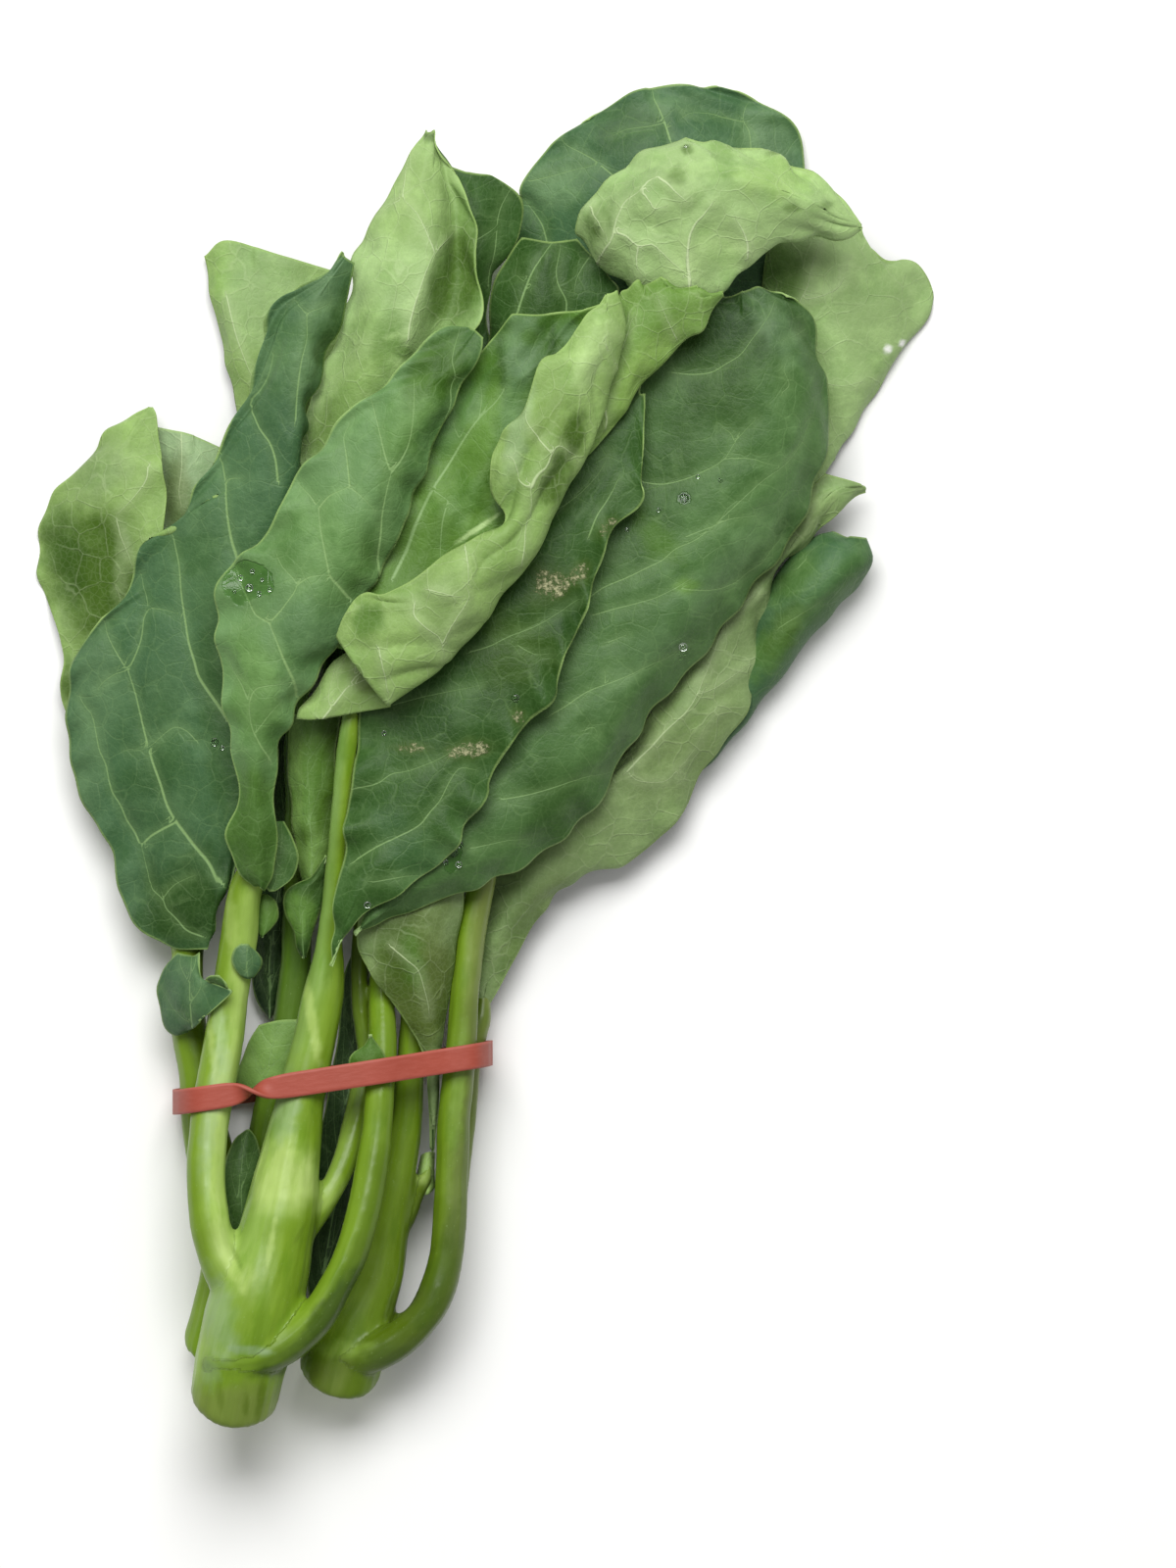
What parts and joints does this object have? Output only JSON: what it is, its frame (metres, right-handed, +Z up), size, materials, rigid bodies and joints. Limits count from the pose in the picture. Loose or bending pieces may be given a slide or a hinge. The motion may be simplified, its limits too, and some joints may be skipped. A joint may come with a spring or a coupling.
{
  "type": "chinese broccoli bunch",
  "caption": "Bunch of leafy stalks lying down, with broad overlapping leaf blades on long petioles, tied below the leaves by a flat rubber band.",
  "frame": {"origin": "on the surface that the bunch lies on, under the middle of its bounding box", "axes": "+Y from the cut ends of the stalks towards the leaf tips, +Z up off the surface, +X to the right as seen from above with the leaf tips at the top"},
  "size_m": [0.231, 0.3439, 0.0585],
  "materials": {
    "leaf_upper": "waxy dark green upper side with pale veins",
    "leaf_under": "matt light green underside with raised veins",
    "stalk": "smooth, slightly glossy light green skin",
    "rubber_band": "dusty red rubber, satin"
  },
  "bodies": {
    "root": {"left_outer_leaf": "leaf_upper", "front_left_leaf": "leaf_upper", "pointed_leaf": "leaf_under", "dark_tip_leaf": "leaf_upper", "back_left_leaf": "leaf_under", "far_left_leaf": "leaf_under", "grey_left_leaf": "leaf_under", "centre_folded_leaf": "leaf_upper", "under_fold_leaf": "leaf_under", "back_centre_leaf": "leaf_upper", "top_arched_leaf": "leaf_under", "strip_leaf": "leaf_under", "top_back_leaf": "leaf_upper", "right_dark_leaf": "leaf_upper", "centre_dark_leaf": "leaf_upper", "right_light_leaf": "leaf_under", "lower_right_leaf": "leaf_under", "rolled_right_leaf": "leaf_upper", "stem_leaf": "leaf_under", "under_leaf": "leaf_upper", "small_left_leaf": "leaf_upper", "round_side_leaf": "leaf_upper", "half_side_leaf": "leaf_upper", "lobe_leaf": "leaf_upper", "dark_back_leaf": "leaf_upper", "pale_back_leaf": "leaf_upper", "olive_leaf": "leaf_upper", "curled_dark_leaf": "leaf_upper", "shoot_leaf": "leaf_under", "low_dark_leaf": "leaf_upper", "band_leaf": "leaf_upper", "front_stalk": "stalk", "right_stalk": "stalk", "back_stalk": "stalk", "rubber_band": "rubber_band"}
  },
  "joints": []
}
